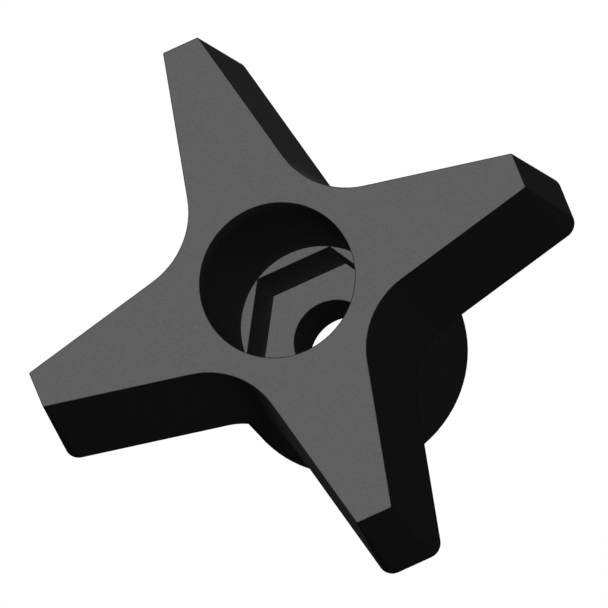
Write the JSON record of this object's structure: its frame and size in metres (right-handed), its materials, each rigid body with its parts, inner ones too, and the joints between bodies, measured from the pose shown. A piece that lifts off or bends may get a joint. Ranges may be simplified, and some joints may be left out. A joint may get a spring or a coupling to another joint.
{
  "type": "star knob",
  "caption": "Star-shaped hand knob with tapered arms on a round hub; a round well and a hexagonal pocket seat a bolt head or nut over a through hole.",
  "frame": {"origin": "centre of the hub's flat face, on the axis of the bolt hole", "axes": "+Z along the axis from the hub to the star's top face, +X along one arm and through two corners of the hexagonal pocket"},
  "size_m": [0.0548, 0.0548, 0.032],
  "materials": {
    "black_plastic": "matte moulded plastic with a fine eroded grain"
  },
  "bodies": {
    "root": {"knob_body": "black_plastic"}
  },
  "joints": []
}
